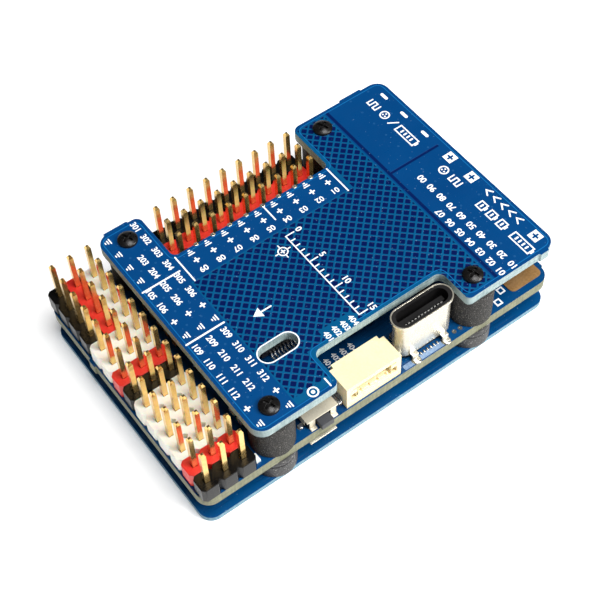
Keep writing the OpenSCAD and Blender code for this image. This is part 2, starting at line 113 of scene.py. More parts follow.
class Field:
    """A number that varies over a surface, held as the output of a shader node."""

    def __init__(self, tree, socket):
        self.tree, self.socket = tree, socket

    def op(self, name, *others):
        node = self.tree.nodes.new("ShaderNodeMath")
        node.operation = name
        for slot, item in zip(node.inputs, (self, *others)):
            if isinstance(item, Field):
                self.tree.links.new(item.socket, slot)
            else:
                slot.default_value = item
        return Field(self.tree, node.outputs[0])

    def __add__(self, other):
        return self.op("ADD", other)

    def __sub__(self, other):
        return self.op("SUBTRACT", other)

    def __mul__(self, other):
        return self.op("MULTIPLY", other)

    def __neg__(self):
        return self * -1.0

    def abs(self):
        return self.op("ABSOLUTE")

    def larger(self, other):
        return self.op("MAXIMUM", other)

    def smaller(self, other):
        return self.op("MINIMUM", other)

    def hypot(self, other):
        return (self * self + other * other).op("SQRT")

    def inside(self, soft):
        """1 where the distance is below zero, 0 where it is above, with a soft step between."""
        node = self.tree.nodes.new("ShaderNodeMapRange")
        node.interpolation_type = "SMOOTHSTEP"
        node.inputs["From Min"].default_value = soft
        node.inputs["From Max"].default_value = -soft
        self.tree.links.new(self.socket, node.inputs["Value"])
        return Field(self.tree, node.outputs["Result"])

    def stretched(self, gain):
        """The field, taken as 0 to 1, pushed away from its middle by a factor of gain."""
        return ((self - 0.5) * gain + 0.5).larger(0.0).smaller(1.0)

    def between(self, low, high):
        """The field, taken as 0 to 1, stretched to run from low to high."""
        return self * (high - low) + low


class Finish:
    """A material under construction: its principled shader, its millimetre coordinates and helpers."""

    def __init__(self, name, metallic=0.0, specular=0.5, glow=0.0):
        self.material = bpy.data.materials.new(name)
        self.material.use_nodes = True
        self.tree = self.material.node_tree
        self.shader = self.tree.nodes["Principled BSDF"]
        self.shader.inputs["Metallic"].default_value = metallic
        self.shader.inputs["Specular IOR Level"].default_value = specular
        self.shader.inputs["Subsurface Weight"].default_value = glow
        self.shader.inputs["Subsurface Scale"].default_value = 0.8 * MM
        where = self.tree.nodes.new("ShaderNodeTexCoord")
        scale = self.tree.nodes.new("ShaderNodeVectorMath")
        scale.operation = "SCALE"
        scale.inputs["Scale"].default_value = 1 / MM
        self.tree.links.new(where.outputs["Object"], scale.inputs[0])
        self.place = scale.outputs[0]
        split = self.tree.nodes.new("ShaderNodeSeparateXYZ")
        self.tree.links.new(self.place, split.inputs[0])
        self.x, self.y = (Field(self.tree, out) for out in split.outputs[:2])

    def noise(self, size, detail=3.0, stretch=(1, 1, 1)):
        """Noise from 0 to 1 with lumps about size millimetres across."""
        node = self.tree.nodes.new("ShaderNodeTexNoise")
        node.inputs["Scale"].default_value = 1 / size
        node.inputs["Detail"].default_value = detail
        squeeze = self.tree.nodes.new("ShaderNodeVectorMath")
        squeeze.operation = "MULTIPLY"
        squeeze.inputs[1].default_value = stretch
        self.tree.links.new(self.place, squeeze.inputs[0])
        self.tree.links.new(squeeze.outputs[0], node.inputs["Vector"])
        return Field(self.tree, node.outputs[0])

    def mix(self, share, low, high):
        """Colour low where share is 0, and high where it is 1. Each is a colour or a socket."""
        node = self.tree.nodes.new("ShaderNodeMix")
        node.data_type = "RGBA"
        first, second, result = node.inputs[6], node.inputs[7], node.outputs[2]
        self.tree.links.new(share.socket, node.inputs[0])
        for slot, colour in ((first, low), (second, high)):
            if isinstance(colour, tuple):
                slot.default_value = colour
            else:
                self.tree.links.new(colour, slot)
        return result

    def finish(self, colour, rough, height=None, depth=0.01):
        """Joins colour, roughness and a bump whose full height is depth millimetres."""
        self.tree.links.new(colour, self.shader.inputs["Base Color"])
        self.tree.links.new(rough.socket, self.shader.inputs["Roughness"])
        if height is not None:
            bump = self.tree.nodes.new("ShaderNodeBump")
            bump.inputs["Distance"].default_value = depth * MM
            bump.inputs["Strength"].default_value = 1.0
            self.tree.links.new(height.socket, bump.inputs["Height"])
            self.tree.links.new(bump.outputs[0], self.shader.inputs["Normal"])
        return self.material


def grained(name, dark, light, grain, rough, depth, patch=4.0, **shader):
    """A finish with fine grain, slow patches of shade and roughness, and a matching bump."""
    made = Finish(name, **shader)
    fine = made.noise(grain, 4.0)
    slow = made.noise(patch, 2.0)
    shade = (fine * 0.55 + slow * 0.45).stretched(1.6)
    colour = made.mix(shade, dark, light)
    return made.finish(colour, slow.between(*rough), fine, depth)


# ---------------------------------------------------------------- board finishes


def box_distance(made, x0, x1, y0, y1):
    """Distance outside a rectangle on the board, negative inside."""
    across = (made.x - (x0 + x1) / 2).abs() - (x1 - x0) / 2
    along = (made.y - (y0 + y1) / 2).abs() - (y1 - y0) / 2
    return across.larger(along)


def nearest_box(made, boxes):
    """Distance outside the nearest of several rectangles, negative inside any of them."""
    distance = box_distance(made, *boxes[0])
    for box in boxes[1:]:
        distance = distance.smaller(box_distance(made, *box))
    return distance


def slot_distance(made, grow):
    """Distance outside the slot's outline, grown by grow millimetres."""
    length, width = SLOT_SIZE
    straight = ((made.x - SLOT_AT[0]).abs() - (length - width) / 2).larger(0.0)
    return straight.hypot(made.y - SLOT_AT[1]) - (width / 2 + grow)


# Rectangles of the top board as (x0, x1, y0, y1)
HATCHED = ((-12.45, 12.4, -11.9, 4.75), (-12.45, -7.4, -16.1, -11.0), (12.3, 16.8, -17.0, 17.0))
SIGN_CLEAR = (-4.6, 0.3, -13, -10.35)
BARE_LINES = (-12.6, 16.95, -17.1, 17.1)
SERVO_LABELS = (-18, 11.8, 4.9, 18)
POUR_GAPS = ((17.15, 17.6, -17.2, 17.2), (17.4, 25.4, 3.47, 3.83))
VIA_COLUMNS_LEFT = (-16.5, -14.4)
VIA_COLUMNS_RIGHT = (21.2, 24.15)
SLOT_MARGIN = 0.25


def hatch_cells(made):
    """1 inside each open cell of the diagonal copper hatch, within the hatched part of the board."""
    pitch = 0.93
    half_cell = 0.345
    corner = 0.1
    round_off = 0.22
    keep_positive = 200.0

    def along(field):
        turned = field * (1 / (pitch * math.sqrt(2)))
        return (turned.op("FRACT") - 0.5).abs() * pitch - (half_cell - corner)

    first = along(made.x + made.y + keep_positive)
    second = along(made.x - made.y + keep_positive)
    cell = first.larger(0.0).hypot(second.larger(0.0)) - corner
    hatched = nearest_box(made, HATCHED)
    keep_clear = slot_distance(made, SLOT_MARGIN).smaller(box_distance(made, *SIGN_CLEAR))
    outside = hatched.larger(-keep_clear)
    return cell.op("SMOOTH_MAX", outside, round_off).inside(0.045)


def via_rings(made, columns, offset):
    """Small rings in rows one pin pitch apart, on two columns and moved along by a share of a pitch."""
    radius = 0.1
    half_band = 0.03
    keep_positive = 50.5
    across = (made.x - columns[0]).abs().smaller((made.x - columns[1]).abs())
    along = ((made.y * (1 / PITCH) + (keep_positive + offset)).op("FRACT") - 0.5) * PITCH
    return ((across.hypot(along) - radius).abs() - half_band).inside(0.04)


def mask_finish(name, body, pale, deep, hatched=False, traced=False):
    """Solder mask: glossy coloured lacquer over copper, with slow shade and orange peel.

    Hatched adds the top board's copper hatch, gaps and vias. Traced adds straight tracks along X.
    """
    made = Finish(name, specular=0.28)
    slow = made.noise(9.0, 2.0)
    colour = made.mix(slow, body, pale)
    dust = (-(made.noise(0.24, 1.0) - 0.77)).inside(0.02)
    height = made.noise(0.5, 2.0) * 0.08
    if hatched:
        cells = hatch_cells(made)
        copper = made.mix(slow, rgb(0, 77, 119), rgb(2, 89, 133))
        line_area = box_distance(made, *BARE_LINES).inside(0.1)
        notch_label = box_distance(made, *SERVO_LABELS).inside(0.1)
        pour = line_area * (notch_label * -1.0 + 1.0)
        colour = made.mix(pour * 0.8, colour, copper)
        colour = made.mix(cells, colour, deep)
        gap_line = nearest_box(made, POUR_GAPS).inside(0.06)
        colour = made.mix(gap_line * 0.9, colour, deep)
        vias = via_rings(made, VIA_COLUMNS_LEFT, 0.0)
        vias = vias.larger(via_rings(made, VIA_COLUMNS_RIGHT, 0.35))
        colour = made.mix(vias * 0.35, colour, rgb(60, 120, 170))
        height = height - cells * 0.7 - gap_line * 0.7 + vias * 0.25
    if traced:
        lanes_per_mm = 1.7
        half_track = 0.14
        lane = ((made.y * lanes_per_mm).op("FRACT") - 0.5).abs() - half_track
        trace = lane.inside(0.03) * (-(made.noise(6.0, 0.0) - 0.52)).inside(0.03)
        colour = made.mix(trace * 0.3, colour, deep)
        height = height - trace * 0.3
    colour = made.mix(dust * 0.4, colour, rgb(130, 170, 205))
    rough = made.noise(1.2, 2.0).between(0.24, 0.36)
    return made.finish(colour, rough, height, 0.03)


def laminate_finish(name, dark, light):
    """Cut edge of glass fibre board: thin cloth layers along it and milling marks across it."""
    made = Finish(name, specular=0.35)
    layers = made.noise(0.55, 3.0, (0.25, 0.25, 5.0))
    cuts = made.noise(0.22, 3.0, (1.0, 1.0, 0.12))
    colour = made.mix((layers * 0.6 + cuts * 0.4).stretched(2.4), dark, light)
    return made.finish(colour, cuts.between(0.5, 0.75), layers * 0.5 + cuts * 0.5, 0.03)


MASK_TOP = mask_finish("mask_top", rgb(0, 54, 107), rgb(0, 69, 126), rgb(0, 18, 74), hatched=True)
MASK_MAIN = mask_finish("mask_main", rgb(0, 50, 98), rgb(0, 70, 120), rgb(0, 32, 76), traced=True)
MASK_BASE = mask_finish("mask_base", rgb(0, 58, 106), rgb(0, 72, 124), rgb(0, 40, 86), traced=True)
EDGE_TOP = laminate_finish("edge_top", rgb(98, 124, 130), rgb(180, 196, 194))
EDGE_MAIN = laminate_finish("edge_main", rgb(80, 84, 66), rgb(150, 150, 122))
EDGE_BASE = laminate_finish("edge_base", rgb(52, 98, 122), rgb(142, 176, 190))
POUR_LINE = grained("pour_line", rgb(12, 96, 160), rgb(24, 116, 178), 0.4, (0.25, 0.35), 0.004,
                    specular=0.28)

# ---------------------------------------------------------------- other finishes

INK_WHITE = grained("ink_white", rgb(240, 244, 244), rgb(255, 255, 255), 0.15, (0.5, 0.65), 0.006)
BLACK_PLASTIC = grained("black_plastic", rgb(3, 3, 3), rgb(18, 17, 17), 0.14, (0.2, 0.36), 0.014,
                        specular=0.2)
RED_PLASTIC = grained("red_plastic", rgb(214, 26, 20), rgb(240, 62, 50), 0.22, (0.32, 0.46), 0.01,
                      glow=0.25)
WHITE_PLASTIC = grained("white_plastic", rgb(253, 247, 230), rgb(255, 254, 244), 0.22, (0.34, 0.5),
                        0.01, glow=0.35)
CREAM_PLASTIC = grained("cream_plastic", rgb(232, 214, 166), rgb(246, 232, 194), 0.25, (0.36, 0.5),
                        0.008, glow=0.15)
GREY_PLASTIC = grained("grey_plastic", rgb(34, 35, 38), rgb(72, 73, 78), 0.08, (0.5, 0.65), 0.014)
PACKAGE_BLACK = grained("package_black", rgb(20, 20, 22), rgb(52, 52, 55), 0.06, (0.5, 0.68), 0.01)
# Black of the USB socket's insulator. On the tongue and base it is the plastic's own colour. Where it
# lines the shell's inner walls it is painted shade: those walls are metal in shadow deep in the cavity.
INSULATOR_AND_SHADE_BLACK = grained("insulator_black_and_painted_shade", rgb(10, 10, 11), rgb(24, 23, 24), 0.1, (0.35, 0.5), 0.005)
GOLD = grained("gold_wire", rgb(212, 160, 78), rgb(250, 222, 150), 0.5, (0.1, 0.24), 0.008,
               patch=1.6, metallic=0.92)
TIN = grained("tin", rgb(186, 188, 188), rgb(238, 238, 236), 0.15, (0.18, 0.36), 0.01, patch=0.8,
              metallic=0.85)
SOLDER = grained("solder", rgb(150, 149, 144), rgb(206, 204, 196), 0.15, (0.14, 0.28), 0.006,
                 patch=0.6, metallic=0.85)
NICKEL = grained("nickel_sheet", rgb(186, 180, 164), rgb(232, 227, 212), 0.3, (0.2, 0.34), 0.006,
                 patch=2.0, metallic=0.7)
CONTACT_TIN = grained("contact_tin", rgb(222, 222, 216), rgb(250, 250, 246), 0.2, (0.3, 0.4), 0.004,
                      metallic=0.2)
BUTTON_SHEET = grained("button_sheet", rgb(196, 188, 166), rgb(238, 230, 208), 0.2, (0.25, 0.4), 0.006,
                       metallic=0.3)
BRASS = grained("turned_brass", rgb(160, 132, 70), rgb(208, 180, 112), 0.2, (0.25, 0.4), 0.008,
                metallic=1.0)
SCREW_BLACK = grained("screw_black", rgb(6, 6, 6), rgb(36, 34, 34), 0.12, (0.2, 0.38), 0.014,
                      patch=0.5, metallic=0.35, specular=0.4)
SHUNT_METAL = grained("shunt_metal", rgb(120, 110, 98), rgb(166, 156, 142), 0.15, (0.3, 0.5), 0.01,
                      metallic=0.9)
COPPER = grained("gilt_copper", rgb(150, 104, 56), rgb(222, 174, 112), 0.3, (0.25, 0.42), 0.01,
                 metallic=0.5)
FERRITE = grained("ferrite", rgb(62, 61, 60), rgb(104, 102, 100), 0.1, (0.6, 0.8), 0.02)
CERAMIC = grained("ceramic_tan", rgb(118, 88, 58), rgb(164, 130, 92), 0.1, (0.4, 0.55), 0.006)
LED_RESIN = grained("led_resin", rgb(236, 236, 226), rgb(252, 252, 248), 0.1, (0.2, 0.3), 0.004,
                    glow=0.3)
TINNED_STRIP = grained("tinned_strip", rgb(66, 104, 150), rgb(142, 164, 192), 0.3, (0.35, 0.5),
                       0.008, patch=1.5, metallic=0.3)


def rubber_finish(name, dark, light, speck, depth, rough):
    """Moulded rubber: pitted surface with pale specks of dust and talc."""
    made = Finish(name, specular=0.35)
    pits = made.noise(speck, 5.0)
    slow = made.noise(1.5, 2.0)
    dust = (-(made.noise(speck * 0.7, 2.0) - 0.66)).inside(0.05)
    colour = made.mix((pits * 0.6 + slow * 0.4).stretched(2.0), dark, light)
    colour = made.mix(dust * 0.6, colour, rgb(190, 188, 182))
    return made.finish(colour, slow.between(*rough), pits, depth)


SLEEVE_RUBBER = rubber_finish("sleeve_rubber", rgb(2, 2, 3), rgb(58, 56, 54), 0.15, 0.14, (0.6, 0.85))
GROMMET_RUBBER = rubber_finish("grommet_rubber", rgb(36, 36, 38), rgb(76, 76, 77), 0.3, 0.03,
                               (0.5, 0.65))


# ---------------------------------------------------------------- pieces made from the CAD nodes

# Angles between faces at which an edge stays sharp, takes a bevel, or is dissolved as flat
SHARP_ANGLE = math.radians(40)
BEVEL_ANGLE = math.radians(32)
FLAT_ANGLE = math.radians(0.5)
WELD = 0.002 * MM


def add_piece(name, mesh, materials, body=STACK):
    """Links a mesh as a piece of the object that rides on a body, smooth up to its sharp edges."""
    mesh.materials.clear()
    for material in materials:
        mesh.materials.append(material)
    for polygon in mesh.polygons:
        polygon.use_smooth = True
    mesh.set_sharp_from_angle(angle=SHARP_ANGLE)
    piece = bpy.data.objects.new(name, mesh)
    bpy.context.scene.collection.objects.link(piece)
    weight = piece.modifiers.new("even_shading", "WEIGHTED_NORMAL")
    weight.keep_sharp = True
    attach(piece, body)
    return piece


def piece_from(shape, name, material):
    """Turns a shape into a piece of the object."""
    bmesh.ops.recalc_face_normals(shape, faces=shape.faces)
    mesh = bpy.data.meshes.new(name)
    shape.to_mesh(mesh)
    shape.free()
    add_piece(name, mesh, [material])


def softened(node, materials, radius, body=STACK, flat_second=False):
    """Rebuilds a CAD node with its edges rounded by radius millimetres.

    With flat_second, faces that look up or down take the second material.
    """
    shape = bmesh.new()
    shape.from_mesh(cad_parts[node].data)
    bmesh.ops.remove_doubles(shape, verts=shape.verts, dist=WELD)
    bmesh.ops.dissolve_limit(shape, angle_limit=FLAT_ANGLE, verts=shape.verts, edges=shape.edges,
                             delimit={"NORMAL"})
    shape.normal_update()
    sharp = [e for e in shape.edges if e.is_manifold and e.calc_face_angle(0) > BEVEL_ANGLE]
    bmesh.ops.bevel(shape, geom=sharp, offset=radius * MM, offset_type="OFFSET", segments=2,
                    profile=0.5, affect="EDGES", clamp_overlap=True)
    shape.normal_update()
    if flat_second:
        for face in shape.faces:
            face.material_index = 1 if abs(face.normal.z) > 0.5 else 0
    mesh = bpy.data.meshes.new(node + "_shape")
    shape.to_mesh(mesh)
    shape.free()
    indices = [polygon.material_index for polygon in mesh.polygons]
    piece = add_piece(node + "_shape", mesh, materials, body)
    mesh.polygons.foreach_set("material_index", indices)
    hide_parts(node)


# Nodes rebuilt with soft edges: (materials, slot, edge radius in mm).
# A board takes the laminate first and the mask second.
SOFT_NODES = {
    "base_board": ((EDGE_BASE, MASK_BASE), "blue_board", 0.06),
    "main_board": ((EDGE_MAIN, MASK_MAIN), "blue_board", 0.05),
    "top_board": ((EDGE_TOP, MASK_TOP), "blue_board", 0.09),
    "serial_header_black": ((BLACK_PLASTIC,), "black_plastic", 0.07),
    "serial_header_red": ((RED_PLASTIC,), "red_plastic", 0.07),
    "serial_header_white": ((WHITE_PLASTIC,), "white_plastic", 0.07),
    "servo_header_black": ((BLACK_PLASTIC,), "black_plastic", 0.07),
    "servo_header_red": ((RED_PLASTIC,), "red_plastic", 0.07),
    "servo_header_white": ((WHITE_PLASTIC,), "white_plastic", 0.07),
    "connector_housing": ((CREAM_PLASTIC,), "cream_plastic", 0.06),
    "connector_anchors": ((TIN,), "tin", 0.03),
    "boot_button_base": ((BLACK_PLASTIC,), "black_plastic", 0.04),
    "boot_button_cover": ((BUTTON_SHEET,), "nickel", 0.04),
    "boot_button_plunger": ((GREY_PLASTIC,), "plunger_grey", 0.06),
    "card_socket_shell": ((NICKEL,), "nickel", 0.03),
    "corner_screws": ((SCREW_BLACK,), "screw_black", 0.06),
    "upper_sleeves": ((SLEEVE_RUBBER,), "sleeve_rubber", 0.12),
    "grommet_rings": ((GROMMET_RUBBER,), "grommet_rubber", 0.15),
    "lower_grommets": ((GROMMET_RUBBER,), "grommet_rubber", 0.12),
    "usb_shell": ((NICKEL,), "nickel", 0.05),
    "processor": ((PACKAGE_BLACK,), "chip_black", 0.06),
    "power_inductors": ((FERRITE,), "ferrite", 0.2),
}
# Nodes shown as they are, with a finish only
FINISH_ONLY = {
    "serial_header_pins": GOLD, "servo_header_pins": GOLD, "threaded_spacers": BRASS,
    # The USB insulator's black is partly painted shade, where it lines the shell's inner walls.
    "board_link_pins": TIN, "usb_insulator": INSULATOR_AND_SHADE_BLACK, "usb_contacts": CONTACT_TIN,
    "connector_contacts": TIN, "boot_button_dome": NICKEL, "boot_button_terminals": TIN,
    "card_socket_base": BLACK_PLASTIC, "card_socket_contacts": GOLD, "processor_leads": TIN,
    "motion_sensor": PACKAGE_BLACK, "pressure_sensor": NICKEL, "video_chip": PACKAGE_BLACK,
    "video_chip_leads": TIN, "crystal": NICKEL, "regulator_chips": PACKAGE_BLACK,
    "capacitors": CERAMIC, "resistors": PACKAGE_BLACK, "current_shunt": SHUNT_METAL,
    "battery_pads": COPPER, "status_leds": LED_RESIN,
}

for node, (materials, slot, radius) in SOFT_NODES.items():
    body = PLUNGER if node == "boot_button_plunger" else STACK
    softened(node, materials, radius, body, flat_second=len(materials) == 2)

for node, material in FINISH_ONLY.items():
    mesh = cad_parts[node].data
    for index in range(len(mesh.materials)):
        mesh.materials[index] = material
    if not mesh.materials:
        mesh.materials.append(material)


# ---------------------------------------------------------------- printed marks


class Print:
    """Flat marks printed on a board face, gathered into one thin raised mesh."""

    def __init__(self, level, thickness=INK):
        self.level, self.thickness = level, thickness
        self.points, self.faces = [], []

    def corner(self, spot):
        """Adds a point and gives its index."""
        self.points.append((spot[0], spot[1]))
        return len(self.points) - 1

    def patch(self, points):
        """A filled outline."""
        self.faces.append([self.corner(point) for point in points])

    def line(self, points, width=STROKE, closed=False):
        """A stroke through the points, mitred where it bends, with round ends."""
        points = [Vector(point) for point in points]
        count = len(points)
        sides = []
        for index, here in enumerate(points):
            into = here - points[index - 1] if closed or index else points[1] - here
            out = points[(index + 1) % count] - here if closed or index < count - 1 else into
            across = (into.normalized() + out.normalized()).normalized().orthogonal()
            reach = width / 2 / max(across.dot(into.normalized().orthogonal()), 0.4)
            sides.append((here + across * reach, here - across * reach))
        pairs = [tuple(self.corner(side) for side in pair) for pair in sides]
        for index in range(count if closed else count - 1):
            (left, right), (next_left, next_right) = pairs[index], pairs[(index + 1) % count]
            self.faces.append([left, right, next_right, next_left])
        if not closed:
            self.round_end(pairs[0], points[0], points[0] - points[1], width)
            self.round_end(pairs[-1], points[-1], points[-1] - points[-2], width)

    def round_end(self, pair, centre, heading, width):
        """Half a disc on the end of a stroke, outside the line through the pair of corners."""
        heading = heading.normalized() * width / 2
        aside = heading.orthogonal()
        if (Vector(self.points[pair[0]]) - centre).dot(aside) < 0:
            aside = -aside
        arc = []
        for turn in range(30, 180, 30):
            angle = math.radians(turn)
            arc.append(self.corner(centre + aside * math.cos(angle) + heading * math.sin(angle)))
        self.faces.append([pair[0], *arc, pair[1]])

    def rectangle(self, x, y, length, width, corner=0.0):
        """A filled rectangle centred at x, y, with round corners."""
        if corner <= 0:
            self.patch([(x + sx * length / 2, y + sy * width / 2)
                        for sx, sy in ((-1, -1), (1, -1), (1, 1), (-1, 1))])
            return
        points = []
        for quarter, (sx, sy) in enumerate(((1, 1), (-1, 1), (-1, -1), (1, -1))):
            for turn in range(0, 91, 15):
                angle = math.radians(90 * quarter + turn)
                points.append((x + sx * (length / 2 - corner) + corner * math.cos(angle),
                               y + sy * (width / 2 - corner) + corner * math.sin(angle)))
        self.patch(points)

    def ring(self, x, y, radius, width):
        """A circle drawn with a stroke."""
        steps = 32
        points = [(x + radius * math.cos(math.tau * k / steps),
                   y + radius * math.sin(math.tau * k / steps)) for k in range(steps)]
        self.line(points, width, closed=True)

    def number(self, text, x, y, turn, size=1.15):
        """Numerals centred at x, y, turned by turn degrees."""
        if text not in NUMERALS:
            NUMERALS[text] = numeral_outline(text)
        outline, faces = NUMERALS[text]
        rotation = Matrix.Rotation(math.radians(turn), 2)
        corners = []
        for point in outline:
            spot = rotation @ (Vector(point) * size)
            corners.append(self.corner((x + spot.x, y + spot.y)))
        self.faces += [[corners[index] for index in face] for face in faces]

    def ground(self, x, y, turn, size=0.95):
        """Three bars, each shorter than the last: the sign for ground."""
        rotation = Matrix.Rotation(math.radians(turn), 2)
        for level, reach in ((0.34, 0.42), (0.0, 0.27), (-0.34, 0.11)):
            ends = [rotation @ Vector((s * reach * size, level * size)) for s in (-1, 1)]
            self.line([(x + e.x, y + e.y) for e in ends], GROUND_STROKE)

    def plus(self, x, y, size=0.85, width=0.22):
        """A cross with square arms, as one outline."""
        far, near = size / 2, width / 2
        self.patch([(x + px, y + py) for px, py in (
            (far, -near), (far, near), (near, near), (near, far), (-near, far), (-near, near),
            (-far, near), (-far, -near), (-near, -near), (-near, -far), (near, -far), (near, -near))])

    def plus_square(self, x, y, half=0.75, arm=0.5, half_arm=0.15):
        """A filled square round a bare cross, as four corner blocks and a bar past each arm."""
        block, middle = half - half_arm, (half + half_arm) / 2
        for sx, sy in ((1, 1), (1, -1), (-1, 1), (-1, -1)):
            self.rectangle(x + sx * middle, y + sy * middle, block, block)
        depth, side, across = half - arm, (half + arm) / 2, 2 * half_arm + 0.02
        for dx, dy in ((side, 0), (-side, 0), (0, side), (0, -side)):
            self.rectangle(x + dx, y + dy, depth if dx else across, depth if dy else across)

    def battery(self, x, y, length, bars):
        """Outline of a battery lying along Y, with its terminal at the near end and bars inside."""
        half, across = length / 2, 0.58
        terminal_y, half_terminal = y - half - 0.2, 0.22
        bar_pitch, half_bar = 0.62, 0.2
        self.line([(x - across, y - half), (x + across, y - half), (x + across, y + half),
                   (x - across, y + half)], SIGN_STROKE, closed=True)
        self.line([(x - half_terminal, terminal_y), (x + half_terminal, terminal_y)], 0.22)
        for bar in range(bars):
            level = y + (bar - (bars - 1) / 2) * bar_pitch
            self.line([(x - half_bar, level), (x + half_bar, level)], HEAVY_STROKE)

    def motor(self, x, y):
        """Ring with three poles inside: the sign for a motor."""
        reach, pole, pole_corner = 0.26, 0.24, 0.11
        self.ring(x, y, RING_RADIUS, SIGN_STROKE)
        for turn in (0, 120, 240):
            angle = math.radians(turn)
            self.rectangle(x + reach * math.cos(angle), y + reach * math.sin(angle), pole, pole,
                           pole_corner)

    def wave(self, x, y):
        """Square wave: the sign for a switched drive."""
        left, right = x - 0.5, x + 0.5
        outer, inner = 0.85, 0.28
        self.line([(right, y - outer), (left, y - outer), (left, y - inner), (right, y - inner),
                   (right, y + inner), (left, y + inner), (left, y + outer), (right, y + outer)],
                  SIGN_STROKE)

    def piece(self, name, material, slot):
        """Gives the marks their thickness and links them."""
        shape = bmesh.new()
        low, high = ([shape.verts.new((x * MM, y * MM, level * MM)) for x, y in self.points]
                     for level in (self.level, self.level + self.thickness))
        edges = [(a, b) for face in self.faces for a, b in zip(face, face[1:] + face[:1])]
        uses = Counter(frozenset(edge) for edge in edges)
        for layer in (low, high):
            for face in self.faces:
                shape.faces.new([layer[index] for index in face])
        for a, b in edges:
            if uses[frozenset((a, b))] == 1:
                shape.faces.new([low[a], low[b], high[b], high[a]])
        piece_from(shape, name, material)


# Outlines already made, by their text
NUMERALS = {}


def numeral_outline(text):
    """Points and faces of plain numerals one unit high, centred on the origin."""
    curve = bpy.data.curves.new("numerals", "FONT")
    curve.body = text
    curve.align_x, curve.align_y = "CENTER", "CENTER"
    curve.offset = 0.02
    curve.resolution_u = 3
    holder = bpy.data.objects.new("numerals", curve)
    bpy.context.scene.collection.objects.link(holder)
    bpy.context.view_layer.update()
    mesh = bpy.data.meshes.new_from_object(
        holder.evaluated_get(bpy.context.evaluated_depsgraph_get()))
    points = [(v.co.x, v.co.y) for v in mesh.vertices]
    faces = [list(p.vertices) for p in mesh.polygons]
    middle_x = (min(p[0] for p in points) + max(p[0] for p in points)) / 2
    middle_y = (min(p[1] for p in points) + max(p[1] for p in points)) / 2
    bpy.data.objects.remove(holder)
    bpy.data.meshes.remove(mesh)
    return [(x - middle_x, y - middle_y) for x, y in points], faces


def serial_labels(ink):
    """Beside the serial header: signs on the supply rows, pin numbers on the others."""
    label_x = (-17.45, -15.4, -13.35)
    ground_rows, supply_rows, first_column_ground = (0, 6), (1, 7), 10
    divider_y, divider_x = (7.25, -2.4), (-18.15, -12.75)
    for column, x in enumerate(label_x):
        for row in range(SERIAL_ROWS):
            y = SERIAL_Y + row * PITCH
            if math.hypot(x + SCREW_AT, abs(y) - SCREW_AT) < SCREW_CLEAR:
                continue
            if row in ground_rows or (column == 0 and row >= first_column_ground):
                ink.ground(x, y, -90)
            elif row in supply_rows:
                ink.plus(x, y)
            else:
                ink.number("%d%02d" % (column + 1, SERIAL_ROWS - row), x, y, -90)
    for y in divider_y:
        ink.line([(x, y) for x in divider_x], HEAVY_STROKE)


def servo_labels(ink):
    """Below the servo header: ground, plus and a pin number for each row."""
    ground_y, plus_y, number_y = 8.85, 7.4, 5.75
    divider_top = 9.35
    for row in range(SERVO_ROWS):
        x = SERVO_X + row * PITCH - 0.05
        ink.ground(x, ground_y, 180)
        ink.plus(x, plus_y)
        ink.number("%02d" % (SERVO_ROWS - row), x, number_y, 180)
    for x, divider_foot in ((-12.05, 4.9), (1.33, 6.6), (11.48, 4.75)):
        ink.line([(x, divider_top), (x, divider_foot)])


def connector_labels(ink, first_x, y):
    """A number for each contact of the side connector."""
    for place in range(CONTACT_COUNT):
        x = first_x + place * CONTACT_PITCH
        ink.number("%d" % (CONTACT_FIRST_NUMBER + place), x, y, -90, 1.05)


def button_sign_and_arrow(ink):
    """Ring and dot for the button with a tick by it, and a plain arrow that points forward."""
    x, y, dot = -10.1, -16.75, 0.5
    ink.ring(x, y, RING_RADIUS, STROKE)
    ink.rectangle(x, y, dot, dot, 0.24)
    tick_x = -7.95
    ink.line([(tick_x, -16.1), (tick_x, -17.3)])
    arrow_y = -3.9
    ink.line([(-6.9, arrow_y), (-8.25, arrow_y)])
    ink.patch([(-9.5, arrow_y), (-8.35, arrow_y - 0.75), (-8.35, arrow_y + 0.75)])


def scale_and_target(ink):
    """Millimetre scale down the middle of the board, and a small target by its start."""
    x, start, length, long_step = 0.75, 3.6, 15, 5
    short_reach, long_reach, number_reach = 0.7, 1.25, 2.0
    ink.line([(x, start), (x, start - length)], FINE_STROKE)
    for tick in range(length + 1):
        reach = short_reach if tick % long_step else long_reach
        ink.line([(x + 0.17, start - tick), (x + reach, start - tick)], FINE_STROKE)
    for tick in range(0, length + 1, long_step):
        ink.number("%d" % tick, x + number_reach, start - tick, -90, 1.2)
    x, y = -0.9, 1.9
    near, far = 0.8, 1.1
    ink.ring(x, y, RING_RADIUS, 0.17)
    ink.plus(x, y, 0.7, FINE_STROKE)
    for dx, dy in ((1, 0), (0, 1), (-1, 0), (0, -1)):
        ink.line([(x + near * dx, y + near * dy), (x + far * dx, y + far * dy)], FINE_STROKE)


def slot_outline(ink):
    """White line round the slot."""
    length, width = SLOT_SIZE
    straight = (length - width) / 2
    radius = width / 2 + 0.12
    points = []
    for side, first in ((1, -90), (-1, 90)):
        for turn in range(0, 181, 12):
            angle = math.radians(first + turn)
            points.append((SLOT_AT[0] + side * straight + radius * math.cos(angle),
                           SLOT_AT[1] + radius * math.sin(angle)))
    ink.line(points, SLOT_STROKE, closed=True)


